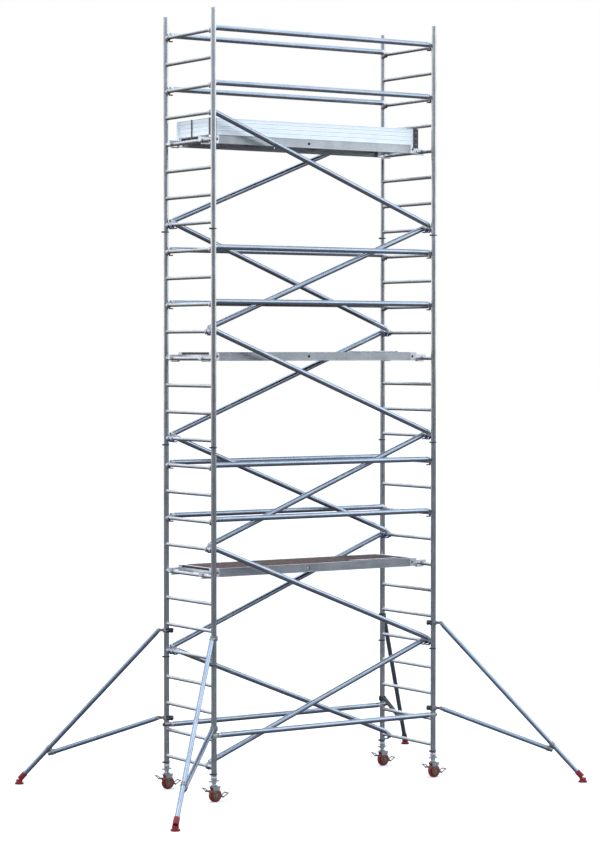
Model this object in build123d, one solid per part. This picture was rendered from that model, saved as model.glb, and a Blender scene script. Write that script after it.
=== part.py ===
from build123d import *
import math
import os

os.makedirs("parts", exist_ok=True)

# Mobile aluminium tower scaffold. X runs along the bay, Y across the frames, Z up.
# Origin: the middle of the tower's footprint, on the floor. All sizes are in millimetres.

# ---- tower grid ----
BAY = 2500.0            # upright to upright along the decks
WIDTH = 850.0           # upright to upright across a frame
PITCH = 250.0           # rung spacing
RUNG_1 = 320.0          # height of the lowest rung
XR = BAY / 2
YU = WIDTH / 2
CORNERS = {"lf": (-1, -1), "lb": (-1, 1), "rf": (1, -1), "rb": (1, 1)}

# ---- frames ----
TUBE_R, TUBE_WALL = 25.4, 2.3
RUNG_R, RUNG_WALL = 17.0, 1.8
BASE_FOOT = 238.0       # lower end of the base frame's uprights
JOINT_DROP = 123.0      # joint line below the first rung of the frame above
FRAME_RUNGS = (4, 8, 8, 8)
SPIGOT_R, SPIGOT_UP, SPIGOT_DOWN = 22.8, 75.0, 120.0
CLIP_DROP = 62.0        # interlock clip below the first rung of each frame

# ---- castors ----
WHEEL_R, TYRE_W, HUB_R = 62.5, 36.0, 50.0
TRAIL = 12.0
AXLE_R, KINGPIN_R, STEM_R = 6.0, 8.0, 19.0
EAR_Y, EAR_T = 26.0, 4.0
CROWN_Z = 141.0         # underside of the fork crown
HEAD_Z = 155.3          # underside of the stem flange
STEM_TOP = 622.0        # upper end of the stem, inside the upright
NUT_TOP = BASE_FOOT - 0.5
PEDAL_PIVOT = (0.0, 98.0)

# ---- braces ----
BRACE_R, BRACE_WALL = 25.4, 1.8
BRACE_RISE = 24.0       # brace axis above the axis of the rung that it hooks on
RAIL_Y = 380.0
OUTER_LANE, INNER_LANE = 376.0, 308.0
RAIL_RUNGS = (10, 12, 18, 20, 26, 28)
LOW_RAIL_Z = 612.0
TUBE_START = 50.0       # brace tube end from the rung
LOW_TUBE_START = 66.0   # brace tube end from the upright

# ---- decks ----
DECK_RUNGS = (8, 16, 24)
DECK_TOP, DECK_BOTTOM = 60.0, -20.0
DECK_Y0, DECK_Y1 = -265.0, 345.0
BEAM_T, BEAM_END = 28.0, 1090.0
CAST_END, CAST_W = 1165.0, 60.0
HOOK_Y = (-235.0, 315.0)
HATCH_X0, HATCH_X1 = 360.0, 1000.0
HINGE_Y, HINGE_Z = -229.0, 66.0
HOLE_R = 13.0
TOE_H = 158.0

# ---- stabilisers ----
STAB_R, STAB_WALL = 22.25, 2.5
CLAMP_HIGH, CLAMP_LOW = 1507.0, 677.0
LUG = 75.0
FOOT_REACH, FOOT_Z = 1440.0, 58.0
COUPLE_REACH, COUPLE_DROP = 1160.0, 56.0


def rung_z(number):
    return RUNG_1 + PITCH * (number - 1)


def box(x0, x1, y0, y1, z0, z1):
    """Box between two corners, in any order."""
    lo = (min(x0, x1), min(y0, y1), min(z0, z1))
    size = (abs(x1 - x0), abs(y1 - y0), abs(z1 - z0))
    return Pos(*lo) * Box(*size, align=(Align.MIN, Align.MIN, Align.MIN))


def rod(p, q, r):
    """Solid round bar from p to q."""
    p, q = Vector(*p), Vector(*q)
    return Plane(origin=p, z_dir=(q - p)) * Cylinder(r, (q - p).length, align=(Align.CENTER, Align.CENTER, Align.MIN))


def pipe(p, q, r, wall):
    """Hollow tube from p to q."""
    return rod(p, q, r) - rod(p, q, r - wall)


def disc(x, y, z0, z1, r):
    return rod((x, y, z0), (x, y, z1), r)


def bar_xz(p, q, y0, y1, height):
    """Flat bar standing in an XZ plane, from p to q (x, z), between two Y values."""
    (x0, z0), (x1, z1) = p, q
    length = math.hypot(x1 - x0, z1 - z0)
    slope = math.degrees(math.atan2(z1 - z0, x1 - x0))
    bar = Box(length, abs(y1 - y0), height)
    return Pos((x0 + x1) / 2, (y0 + y1) / 2, (z0 + z1) / 2) * Rot(0, -slope, 0) * bar


def solids(shapes):
    out = []
    for shape in shapes:
        out.extend(shape.solids())
    return out


def save(name, *shapes):
    parts = solids(shapes)
    body = parts[0] if len(parts) == 1 else Compound(children=parts)
    export_step(body, f"parts/{name}.step")


# ---------------------------------------------------------------- end frames
def end_frame(side, level):
    """Two uprights and their rungs: level 0 is the base frame."""
    first = 1 + sum(FRAME_RUNGS[:level])
    low = BASE_FOOT if level == 0 else rung_z(first) - JOINT_DROP
    high = rung_z(first + FRAME_RUNGS[level]) - JOINT_DROP
    x = side * XR
    pieces = [pipe((x, y, low), (x, y, high), TUBE_R, TUBE_WALL) for y in (-YU, YU)]
    for n in range(first, first + FRAME_RUNGS[level]):
        rung = pipe((x, -YU, rung_z(n)), (x, YU, rung_z(n)), RUNG_R, RUNG_WALL)
        for y in (-YU, YU):
            rung -= disc(x, y, rung_z(n) - 30, rung_z(n) + 30, TUBE_R)
        pieces.append(rung)
    return pieces


for side, word in ((-1, "left"), (1, "right")):
    for level in range(len(FRAME_RUNGS)):
        save(f"frame_{word}_{level + 1}", *end_frame(side, level))

joints = [rung_z(1 + sum(FRAME_RUNGS[:k])) - JOINT_DROP for k in range(1, len(FRAME_RUNGS) + 1)]
spigots, clips = [], []
for sx, sy in CORNERS.values():
    x, y = sx * XR, sy * YU
    for z in joints:
        buried = z if z == joints[-1] else z + SPIGOT_UP
        spigot = pipe((x, y, z - SPIGOT_DOWN), (x, y, buried), SPIGOT_R - 0.3, 3.0)
        if z == joints[-1]:
            spigot += pipe((x, y, z), (x, y, z + SPIGOT_UP), SPIGOT_R, 3.3)
        spigots.append(spigot)
    for level in range(len(FRAME_RUNGS)):
        z = rung_z(1 + sum(FRAME_RUNGS[:level])) - CLIP_DROP
        ring = disc(x, y, z - 5, z + 5, 30.5) + box(x - 45, x - 20, y - 9, y + 9, z - 7, z + 7)
        clips.append(ring - disc(x, y, z - 10, z + 10, TUBE_R + 0.1))
save("joint_spigots", *spigots)
save("interlock_clips", *clips)


# ---------------------------------------------------------------- castor legs
def castor(x, y):
    """The six pieces of one castor leg, at the foot of the upright at x, y."""
    ax = x + TRAIL
    stem = pipe((x, y, HEAD_Z + 6), (x, y, STEM_TOP), STEM_R, 4.5)
    stem += disc(x, y, HEAD_Z, HEAD_Z + 6, 26) + disc(x, y, CROWN_Z - 0.3, HEAD_Z, KINGPIN_R)
    stem += disc(x, y, 131, CROWN_Z - 0.3, 13)

    nut = disc(x, y, 206, NUT_TOP, 27.5) + disc(x, y, 174, 206, 24)
    for s in (-1, 1):
        nut += box(x + s * 20, x + s * 54, y - 6, y + 6, 187, 200)
    nut -= disc(x, y, 160, 240, STEM_R + 0.06)

    fork = box(x - 32, x + 54, y - EAR_Y - EAR_T, y + EAR_Y + EAR_T, CROWN_Z, CROWN_Z + 6)
    fork += disc(x, y, CROWN_Z + 6, HEAD_Z - 0.3, 28)
    outline = ((x - 30, CROWN_Z), (x + 52, CROWN_Z), (ax + 19, WHEEL_R), (ax + 12, WHEEL_R - 17),
               (ax - 12, WHEEL_R - 17), (ax - 19, WHEEL_R))
    for s in (-1, 1):
        ear_y = y + s * (EAR_Y + EAR_T / 2)
        face = Plane(origin=(0, ear_y, 0), x_dir=(1, 0, 0), z_dir=(0, -1, 0)) * make_face(Polyline(*outline, close=True))
        fork += extrude(face, EAR_T / 2, both=True)
        fork += rod((x + PEDAL_PIVOT[0], y + s * EAR_Y, PEDAL_PIVOT[1]),
                    (x + PEDAL_PIVOT[0], y + s * 39, PEDAL_PIVOT[1]), 5)
        fork += rod((ax, y + s * (EAR_Y + EAR_T), WHEEL_R), (ax, y + s * (EAR_Y + EAR_T + 7), WHEEL_R), 8.5)
    fork += rod((ax, y - EAR_Y - EAR_T, WHEEL_R), (ax, y + EAR_Y + EAR_T, WHEEL_R), AXLE_R)
    fork -= disc(x, y, CROWN_Z - 1, HEAD_Z, KINGPIN_R + 0.08)

    def ring(r_out, r_in, width):
        a, b = (ax, y - width / 2, WHEEL_R), (ax, y + width / 2, WHEEL_R)
        return rod(a, b, r_out) - rod(a, b, r_in) if r_in else rod(a, b, r_out)

    wheel = ring(HUB_R, 41, TYRE_W - 4) + ring(42, 0, 12) + ring(17, 0, 42)
    wheel -= ring(AXLE_R + 0.05, 0, 60)
    tyre = ring(WHEEL_R, HUB_R, TYRE_W)
    tyre = fillet([e for e in tyre.edges().filter_by(GeomType.CIRCLE) if e.radius > HUB_R + 1], 6)

    px, pz = x + PEDAL_PIVOT[0], PEDAL_PIVOT[1]
    pedal = None
    for s in (-1, 1):
        near, far = y + s * 32, y + s * 35
        arm = bar_xz((px - 74, pz + 4), (px + 2, pz), near, far, 16)
        arm += bar_xz((px - 2, pz), (px + 82, pz - 56), near, far, 16)
        arm += rod((px, near, pz), (px, far, pz), 13)
        arm += rod((px + 8, near, pz - 31), (px + 8, far, pz - 31), 44)
        arm -= rod((ax, near, WHEEL_R), (ax, far, WHEEL_R), 15)
        pedal = arm if pedal is None else pedal + arm
    for low, high in (((px - 70, pz + 4), (px - 112, pz + 42)), ((px + 78, pz - 57), (px + 138, pz - 20))):
        mid = (low[0] + high[0]) / 2, (low[1] + high[1]) / 2
        span = math.hypot(high[0] - low[0], high[1] - low[1])
        frame = Box(span, 70, 5) - Box(span - 22, 48, 6)
        slope = math.degrees(math.atan2(high[1] - low[1], high[0] - low[0]))
        pedal += Pos(mid[0], y, mid[1]) * Rot(0, -slope, 0) * frame
    for s in (-1, 1):
        pedal -= rod((px, y + s * 30, pz), (px, y + s * 37, pz), 5.05)
    return {"castor_stem": stem, "leg_nut": nut, "castor_fork": fork, "castor_wheel": wheel,
            "castor_tyre": tyre, "brake_pedal": pedal}


for corner, (sx, sy) in CORNERS.items():
    for name, shape in castor(sx * XR, sy * YU).items():
        save(f"{name}_{corner}", shape)


# ---------------------------------------------------------------- braces
def along(p, q, distance):
    """The point at a distance from p towards q."""
    p, q = Vector(*p), Vector(*q)
    step = (q - p).normalized() * distance
    return (p.X + step.X, p.Y + step.Y, p.Z + step.Z)


def rung_claw(anchor, toward):
    """Jaw over the rung under the anchor, with a shank inside the brace tube, and its trigger."""
    x, y, z = anchor[0], anchor[1], anchor[2] - BRACE_RISE
    inward = 1 if toward[0] > x else -1
    jaw = rod((x, y - 17, z), (x, y + 17, z), 23)
    jaw += box(x, x + inward * 30, y - 15, y + 15, z + 4, z + 30)
    jaw -= box(x - 13, x + 13, y - 20, y + 20, z - 30, z)
    jaw += rod(along(anchor, toward, 22), along(anchor, toward, TUBE_START + 40), BRACE_R - BRACE_WALL - 0.1)
    jaw += rod(along(anchor, toward, 30), along(anchor, toward, TUBE_START), BRACE_R - 0.6)
    jaw -= rod((x, y - 60, z), (x, y + 60, z), RUNG_R + 0.05)
    jaw = max(jaw.solids(), key=lambda s: s.volume)
    trigger = box(x - 12.5, x + 12.5, y - 13, y + 13, z - 27, z - RUNG_R - 1)
    trigger += box(x + inward * 10, x + inward * 47, y - 10, y + 10, z - 37, z - 26)
    return jaw, trigger


def post_claw(anchor, toward):
    """Jaw round the upright that passes through the anchor, and its trigger."""
    x, y, z = anchor
    inward = 1 if toward[0] > x else -1
    jaw = disc(x, y, z - 18, z + 18, 33)
    jaw += box(x, x + inward * 44, y - 16, y + 16, z - 15, z + 15)
    jaw += rod(along(anchor, toward, 40), along(anchor, toward, LOW_TUBE_START + 40), BRACE_R - BRACE_WALL - 0.1)
    jaw += rod(along(anchor, toward, 40), along(anchor, toward, LOW_TUBE_START), BRACE_R - 0.6)
    jaw -= disc(x, y, z - 20, z + 20, TUBE_R + 0.05)
    jaw -= box(x - inward * 8, x - inward * 40, y - 19, y + 19, z - 20, z + 20)
    jaw = max(jaw.solids(), key=lambda s: s.volume)
    trigger = box(x - inward * (TUBE_R + 3), x - inward * 36, y - 17, y + 17, z - 13, z + 13)
    inner = -1 if y > 0 else 1
    trigger += box(x - inward * 36, x + inward * 20, y + inner * 34, y + inner * 42, z - 7, z + 7)
    trigger += box(x - inward * (TUBE_R + 3), x - inward * 36, y + inner * 10, y + inner * 42, z - 7, z + 7)
    return jaw, trigger


def diagonal_ends(number, side_low, y):
    low = (side_low * XR, y, rung_z(number) + BRACE_RISE)
    high = (-side_low * XR, y, rung_z(number + 4) + BRACE_RISE)
    return low, high


rail_tubes, diagonal_tubes, claws, red, blue = [], [], [], [], []
for sy in (-1, 1):
    for n in RAIL_RUNGS:
        a, b = (-XR, sy * RAIL_Y, rung_z(n) + BRACE_RISE), (XR, sy * RAIL_Y, rung_z(n) + BRACE_RISE)
        rail_tubes.append(pipe(along(a, b, TUBE_START), along(b, a, TUBE_START), BRACE_R, BRACE_WALL))
        for p, q in ((a, b), (b, a)):
            jaw, trigger = rung_claw(p, q)
            claws.append(jaw)
            red.append(trigger)
    a, b = (-XR, sy * YU, LOW_RAIL_Z), (XR, sy * YU, LOW_RAIL_Z)
    rail_tubes.append(pipe(along(a, b, LOW_TUBE_START), along(b, a, LOW_TUBE_START), BRACE_R, BRACE_WALL))
    for p, q in ((a, b), (b, a)):
        jaw, trigger = post_claw(p, q)
        claws.append(jaw)
        red.append(trigger)
    for step, n in enumerate(range(1, 25, 4)):
        lane = INNER_LANE if step % 2 == 0 else OUTER_LANE
        side_low = sy * (1 if step % 2 == 0 else -1)
        a, b = diagonal_ends(n, side_low, sy * lane)
        diagonal_tubes.append(pipe(along(a, b, TUBE_START), along(b, a, TUBE_START), BRACE_R, BRACE_WALL))
        for p, q in ((a, b), (b, a)):
            jaw, trigger = rung_claw(p, q)
            claws.append(jaw)
            blue.append(trigger)
save("rail_tubes", *rail_tubes)
save("diagonal_tubes", *diagonal_tubes)
save("brace_claws", *claws)
save("rail_triggers", *red)
save("diagonal_triggers", *blue)


# ---------------------------------------------------------------- decks
def deck(z):
    """Frame, boards, trapdoor, hooks and wind locks of one deck on rungs at height z."""
    top, low = z + DECK_TOP, z + DECK_BOTTOM
    frame, boards, hooks, locks = [], [], [], []
    for y0, y1 in ((DECK_Y0, DECK_Y0 + BEAM_T), (DECK_Y1 - BEAM_T, DECK_Y1)):
        beam = box(-BEAM_END, BEAM_END, y0, y1, low, top)
        beam -= box(-BEAM_END, BEAM_END, y0 + 2.5, y1 - 2.5, low + 2.5, top - 2.5)
        beam -= rod((-94, y0 - 1, z + 20), (-94, y1 + 1, z + 20), HOLE_R)
        frame.append(beam)
    for sx in (-1, 1):
        for y0, y1, hook_y in ((DECK_Y0, DECK_Y0 + CAST_W, HOOK_Y[0]), (DECK_Y1 - CAST_W, DECK_Y1, HOOK_Y[1])):
            cast = box(sx * BEAM_END, sx * CAST_END, y0, y1, low, top)
            cast -= box(sx * (CAST_END - 14), sx * (CAST_END + 1), y0 - 1, y1 + 1, low - 1, z + 4)
            cast -= rod((sx * 1112, y0 - 1, z + 20), (sx * 1112, y1 + 1, z + 20), HOLE_R)
            frame.append(cast)
            hook = box(sx * CAST_END, sx * 1285, hook_y - 20, hook_y + 20, z + RUNG_R + 0.4, z + 38)
            hook += box(sx * 1268, sx * 1285, hook_y - 20, hook_y + 20, z - 8, z + 38)
            hooks.append(hook)
            lock = box(sx * 1176, sx * 1188, hook_y - 12, hook_y + 12, z - 30, z + 10)
            lock += box(sx * 1176, sx * 1262, hook_y - 12, hook_y + 12, z - 30, z - 19)
            locks.append(lock)
        frame.append(box(sx * 1122, sx * 1150, DECK_Y0 + CAST_W, DECK_Y1 - CAST_W, z + 4, top))
    ribs = (-820, -430, -40, HATCH_X0 - 15, HATCH_X1 + 15)
    inner0, inner1 = DECK_Y0 + BEAM_T, DECK_Y1 - BEAM_T
    for x in ribs:
        frame.append(box(x - 12, x + 12, inner0, inner1, z + 18, top - 11))
    pin = rod((396, HINGE_Y, z + HINGE_Z), (964, HINGE_Y, z + HINGE_Z), 2.5)
    for x in (396, 670, 944):
        pin += box(x, x + 20, HINGE_Y - 5, HINGE_Y + 5, top, z + HINGE_Z + 5)
    frame.append(pin)
    boards.append(box(-BEAM_END, HATCH_X0 - 3, inner0, inner1, top - 10, top))
    boards.append(box(HATCH_X1 + 3, BEAM_END, inner0, inner1, top - 10, top))
    door = box(HATCH_X0, HATCH_X1, HINGE_Y + 7, inner1 - 3, top - 10, top)
    for x0, x1 in ((420, 666), (694, 940)):
        knuckle = rod((x0, HINGE_Y, z + HINGE_Z), (x1, HINGE_Y, z + HINGE_Z), 5)
        knuckle += box(x0, x1, HINGE_Y + 2, HINGE_Y + 40, top, top + 2.5)
        door += knuckle
    door -= rod((394, HINGE_Y, z + HINGE_Z), (966, HINGE_Y, z + HINGE_Z), 2.56)
    door -= disc(680, inner1 - 60, top - 12, top + 2, 16)
    return frame, boards, door, hooks, locks


deck_frames, deck_boards, deck_hooks, windlocks = [], [], [], []
for k, n in enumerate(DECK_RUNGS):
    frame, boards, door, hooks, locks = deck(rung_z(n))
    deck_frames += frame
    deck_boards += boards
    deck_hooks += hooks
    windlocks += locks
    save(f"trapdoor_{k + 1}", door)
save("deck_frames", *deck_frames)
save("deck_boards", *deck_boards)
save("deck_hooks", *deck_hooks)
save("windlocks", *windlocks)

# Toe boards stand on the top deck's edge. A dark strap holds each short board near its middle.
CORNER_W, STRAP_Y = 40.0, 75.0
toe_z0 = rung_z(DECK_RUNGS[-1]) + DECK_TOP
toe_z1 = toe_z0 + TOE_H


def hollow_board(x0, x1, y0, y1, z0, z1, lengthwise):
    board = box(x0, x1, y0, y1, z0, z1)
    if lengthwise:
        return board - box(x0, x1, y0 + 1.6, y1 - 1.6, z0 + 1.6, z1 - 1.6)
    return board - box(x0 + 1.6, x1 - 1.6, y0, y1, z0 + 1.6, z1 - 1.6)


toe_boards = [hollow_board(-1152, 1152, y0, y0 + 18, toe_z0, toe_z1, True) for y0 in (DECK_Y0, DECK_Y1 - 18)]
brackets = []
for sx in (-1, 1):
    x0, x1 = sorted((sx * 1158, sx * 1176))
    toe_boards.append(hollow_board(x0, x1, DECK_Y0 + CORNER_W, DECK_Y1 - CORNER_W, toe_z0, toe_z1, False))
    for sy, edge in ((-1, DECK_Y0), (1, DECK_Y1)):
        post = box(sx * 1152, sx * 1178, edge, edge - sy * CORNER_W, toe_z0, toe_z1)
        post += box(sx * 1120, sx * 1178, edge, edge + sy * 3, toe_z0 - 30, toe_z1)
        (brackets if sy < 0 else toe_boards).append(post)
    brackets.append(box(sx * 1176, sx * 1182, STRAP_Y - 7, STRAP_Y + 7, toe_z0 - 20, toe_z1))
save("toe_boards", *toe_boards)
save("toe_board_brackets", *brackets)


# ---------------------------------------------------------------- stabilisers
def stabiliser():
    """One stabiliser built along +X from an upright on the Z axis: tubes, couplers, foot."""
    top, foot = (LUG, 0, CLAMP_HIGH), (FOOT_REACH, 0, FOOT_Z)
    run, rise = FOOT_REACH - LUG, FOOT_Z - CLAMP_HIGH
    length = math.hypot(run, rise)
    ux, uz = run / length, rise / length
    share = (COUPLE_REACH - LUG) / run
    on_main = (COUPLE_REACH, 0, CLAMP_HIGH + share * rise)
    on_strut = (on_main[0] + uz * COUPLE_DROP, 0, on_main[2] - ux * COUPLE_DROP)
    low = (LUG, 0, CLAMP_LOW)
    tubes = [pipe(along(top, foot, 30), foot, STAB_R, STAB_WALL)]
    tubes.append(pipe(along(low, on_strut, 30), along(on_strut, low, -45), STAB_R, STAB_WALL))

    clamps = []
    for z, lug, target in ((CLAMP_HIGH, top, foot), (CLAMP_LOW, low, on_strut)):
        clamp = disc(0, 0, z - 21, z + 21, 33.5)
        clamp += box(20, LUG, -9, 9, z - 13, z + 13)
        clamp += rod((LUG, -18, z), (LUG, 18, z), 16)
        clamp += rod(lug, along(lug, target, 75), STAB_R - STAB_WALL - 0.1)
        clamp += rod((-58, 0, z), (-30, 0, z), 6) + rod((-62, 0, z), (-36, 0, z), 22)
        clamp -= disc(0, 0, z - 25, z + 25, TUBE_R + 0.05)
        clamps.append(clamp)
    couple = rod(along(on_main, foot, -19), along(on_main, foot, 19), 26.5)
    couple += rod(along(on_strut, low, -19), along(on_strut, low, 19), 26.5)
    couple += rod(on_main, on_strut, 14)
    couple -= rod(along(top, foot, 40), along(top, foot, length), STAB_R)
    couple -= rod(along(low, on_strut, 40), along(on_strut, low, -60), STAB_R)
    clamps.append(couple)

    pad = FOOT_REACH + 14
    rubber = disc(pad, 0, 0, 15, 42) + disc(pad, 0, 10, 44, 31)
    rubber += rod(along(foot, top, -10), along(foot, top, 64), 28)
    rubber -= rod(foot, along(foot, top, 200), STAB_R)
    rubber = max(rubber.solids(), key=lambda s: s.volume)
    return tubes, clamps, rubber


tubes, clamps, rubber = stabiliser()
for corner, (sx, sy) in CORNERS.items():
    heading = math.degrees(math.atan2(sy, sx))
    place = Pos(sx * XR, sy * YU, 0) * Rot(0, 0, heading)
    save(f"stab_tubes_{corner}", *[place * t for t in tubes])
    save(f"stab_clamps_{corner}", *[place * c for c in clamps])
    save(f"stab_foot_{corner}", place * rubber)
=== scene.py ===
"""Mobile tower scaffold: finished surfaces, fine pieces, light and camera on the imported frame."""

import math

import bmesh
import bpy
import numpy as np
from mathutils import Matrix, Vector


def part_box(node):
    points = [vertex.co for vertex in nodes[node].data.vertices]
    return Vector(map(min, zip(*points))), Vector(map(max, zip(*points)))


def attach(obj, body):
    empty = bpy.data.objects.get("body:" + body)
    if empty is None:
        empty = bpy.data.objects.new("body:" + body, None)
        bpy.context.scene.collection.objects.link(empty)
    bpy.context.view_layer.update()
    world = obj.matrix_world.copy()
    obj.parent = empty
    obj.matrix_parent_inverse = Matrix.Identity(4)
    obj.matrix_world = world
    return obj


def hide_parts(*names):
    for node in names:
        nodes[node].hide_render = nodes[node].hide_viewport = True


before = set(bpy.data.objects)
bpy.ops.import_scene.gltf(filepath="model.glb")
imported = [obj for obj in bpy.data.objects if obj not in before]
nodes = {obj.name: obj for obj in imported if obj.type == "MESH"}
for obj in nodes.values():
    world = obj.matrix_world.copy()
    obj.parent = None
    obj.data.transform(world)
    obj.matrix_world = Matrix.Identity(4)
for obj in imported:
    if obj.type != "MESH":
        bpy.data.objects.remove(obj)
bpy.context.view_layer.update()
CORNERS = {"lf": (-1, -1), "lb": (-1, 1), "rf": (1, -1), "rb": (1, 1)}
MM = 0.001
POST_R = 25.4 * MM      # the uprights
TUBE_WALL = 2.3 * MM    # the uprights and stabilisers
BRACE_WALL = 2.0 * MM
UPRIGHT_MIN = 0.5       # a frame's solid taller than this is an upright, and the others are rungs
LONG = 2.0              # a deck part longer than this is a side beam
DECK_MIDDLE = 0.04      # Y of the decks' centre line, near enough: parts beyond it face the back
SUNK = 0.3 * MM         # how far rivet and bolt heads go into the face below them


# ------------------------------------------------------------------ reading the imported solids
def solids_of(name):
    """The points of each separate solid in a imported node, one array per solid."""
    mesh = nodes[name].data
    co = np.empty(len(mesh.vertices) * 3)
    mesh.vertices.foreach_get("co", co)
    co = co.reshape(-1, 3)
    _, same = np.unique(np.round(co, 5), axis=0, return_inverse=True)
    same = same.ravel()
    parent = list(range(int(same.max()) + 1))

    def find(i):
        while parent[i] != i:
            parent[i] = parent[parent[i]]
            i = parent[i]
        return i

    for face in mesh.polygons:
        first = find(int(same[face.vertices[0]]))
        for v in face.vertices[1:]:
            parent[find(int(same[v]))] = first
    roots = np.array([find(i) for i in range(len(parent))])[same]
    return [co[roots == r] for r in np.unique(roots)]


def box_of(points):
    """Lowest and highest corner of a set of points."""
    return Vector(points.min(axis=0)), Vector(points.max(axis=0))


def axis_of(points):
    """End points and radius of a round tube or bar."""
    centre = points.mean(axis=0)
    _, _, rows = np.linalg.svd(points - centre, full_matrices=False)
    d = rows[0]
    t = (points - centre) @ d
    off = points - centre - np.outer(t, d)
    middle = (off.max(axis=0) + off.min(axis=0)) / 2
    radius = np.linalg.norm(off - middle, axis=1).max()
    c = centre + middle
    return Vector(c + d * t.min()), Vector(c + d * t.max()), float(radius)


# ------------------------------------------------------------------ building meshes
class Shape:
    """Vertices and faces of one piece, put together from closed parts."""

    def __init__(self):
        self.v, self.f = [], []

    def add(self, verts, faces):
        n = len(self.v)
        self.v += [tuple(p) for p in verts]
        self.f += [[i + n for i in face] for face in faces]
        return self

    def put(self, other, matrix):
        return self.add([matrix @ Vector(p) for p in other.v], other.f)


def basis(a, b, up=None):
    """Matrix at a whose Z axis points at b, with X as near to up as it can be."""
    a, z = Vector(a), (Vector(b) - Vector(a)).normalized()
    x = Vector(up) if up is not None else z.orthogonal()
    x = (x - z * x.dot(z)).normalized()
    y = z.cross(x)
    m = Matrix((x, y, z)).transposed().to_4x4()
    m.translation = a
    return m


def moved(x, y, z):
    return Matrix.Translation((x, y, z))


def on_face(at, way, sunk=SUNK, up=None):
    """Matrix for a rivet or bolt head at a point of a face that looks along way."""
    at, way = Vector(at), Vector(way)
    return basis(at - way * sunk, at + way, up)


def in_mm(*points):
    """A profile or outline given in millimetres."""
    return [(a * MM, b * MM) for a, b in points]


def turned(profile, steps=32, ring=True, wobble=None):
    """A profile of (radius, height) turned about Z. A ring joins its last point to its first."""
    s, k = Shape(), len(profile)
    verts = []
    for i in range(steps):
        t = 2 * math.pi * i / steps
        for j, (r, z) in enumerate(profile):
            rr = r * wobble(t, j) if wobble else r
            verts.append((rr * math.cos(t), rr * math.sin(t), z))
    faces = []
    for i in range(steps):
        a, b = i * k, ((i + 1) % steps) * k
        for j in range(k if ring else k - 1):
            jj = (j + 1) % k
            faces.append([a + j, b + j, b + jj, a + jj])
    if not ring:
        faces.append([i * k for i in range(steps)][::-1])
        faces.append([i * k + k - 1 for i in range(steps)])
    return s.add(verts, faces)


def tube(length, outer, wall, steps=40, lip=0.0007):
    """A round tube up Z with softened ends."""
    inner = outer - wall
    return turned([(inner, lip), (inner + lip, 0), (outer - lip, 0), (outer, lip), (outer, length - lip),
                   (outer - lip, length), (inner + lip, length), (inner, length - lip)], steps)


def knob(radius, height, steps=24, edge=0.2, wobble=None):
    """A closed round button up Z with a softened rim."""
    e = min(radius, height) * edge
    return turned([(radius - e, 0), (radius, e), (radius, height - e), (radius - e * 0.3, height - e * 0.3),
                   (radius - e * 1.2, height)], steps, ring=False, wobble=wobble)


def dome(radius, height, steps=16):
    """A low domed rivet head up Z."""
    rows = [(radius, 0)] + [(radius * math.cos(a), height * math.sin(a)) for a in (0.25, 0.6, 0.95, 1.3)]
    return turned(rows, steps, ring=False)


def hexagon(across, height):
    """A chamfered six-sided bolt head up Z."""
    r = across / math.sqrt(3)
    return turned([(r, 0), (r, height * 0.75), (r * 0.9, height)], 6, ring=False)


def block(size, bevel=0.001, steps=2):
    """A box of a size about the origin with rounded edges."""
    b = bmesh.new()
    bmesh.ops.create_cube(b, size=1.0)
    bmesh.ops.scale(b, vec=size, verts=b.verts)
    bmesh.ops.bevel(b, geom=b.edges[:], offset=bevel, segments=steps, profile=0.6, affect="EDGES")
    return from_bmesh(b)


def plate(outline, thick, bevel=0.0008, steps=2):
    """A flat outline in XY, thickened evenly about Z, with rounded rims."""
    b = bmesh.new()
    face = b.faces.new([b.verts.new((x, y, -thick / 2)) for x, y in outline])
    moved = bmesh.ops.extrude_face_region(b, geom=[face])
    top = [v for v in moved["geom"] if isinstance(v, bmesh.types.BMVert)]
    bmesh.ops.translate(b, vec=(0, 0, thick), verts=top)
    bmesh.ops.recalc_face_normals(b, faces=b.faces)
    rims = [e for e in b.edges if abs(e.verts[0].co.z - e.verts[1].co.z) < 1e-7]
    bmesh.ops.bevel(b, geom=rims, offset=bevel, segments=steps, profile=0.6, affect="EDGES")
    return from_bmesh(b)


def from_bmesh(b):
    """The shape held in a bmesh, which is freed."""
    b.verts.index_update()
    s = Shape().add([v.co[:] for v in b.verts], [[v.index for v in f.verts] for f in b.faces])
    b.free()
    return s


def bead(path, radius, sides=6, ripple=0.25, every=3):
    """A closed weld bead along a loop of points, with the ripples of its passes."""
    n, verts, faces = len(path), [], []
    for i, p in enumerate(path):
        p = Vector(p)
        ahead = (Vector(path[(i + 1) % n]) - Vector(path[i - 1])).normalized()
        side = ahead.orthogonal().normalized()
        other = ahead.cross(side)
        r = radius * (1 + ripple * (0.5 if i % every == 0 else -0.3))
        for j in range(sides):
            a = 2 * math.pi * j / sides
            verts.append(p + (side * math.cos(a) + other * math.sin(a)) * r)
    # the section's start turns with the path, so each ring is lined up with the one before
    for i in range(1, n):
        ring = verts[i * sides:(i + 1) * sides]
        shift = min(range(sides), key=lambda k: (ring[k] - verts[(i - 1) * sides]).length)
        verts[i * sides:(i + 1) * sides] = ring[shift:] + ring[:shift]
    for i in range(n):
        # the last ring joins the first, which may start at another place
        shift = 0
        if i == n - 1:
            shift = min(range(sides), key=lambda k: (verts[k] - verts[i * sides]).length)
        for j in range(sides):
            a, b = i * sides + j, i * sides + (j + 1) % sides
            c = ((i + 1) % n) * sides + (j + 1 + shift) % sides
            d = ((i + 1) % n) * sides + (j + shift) % sides
            faces.append([a, b, c, d])
    return Shape().add(verts, faces)


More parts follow.
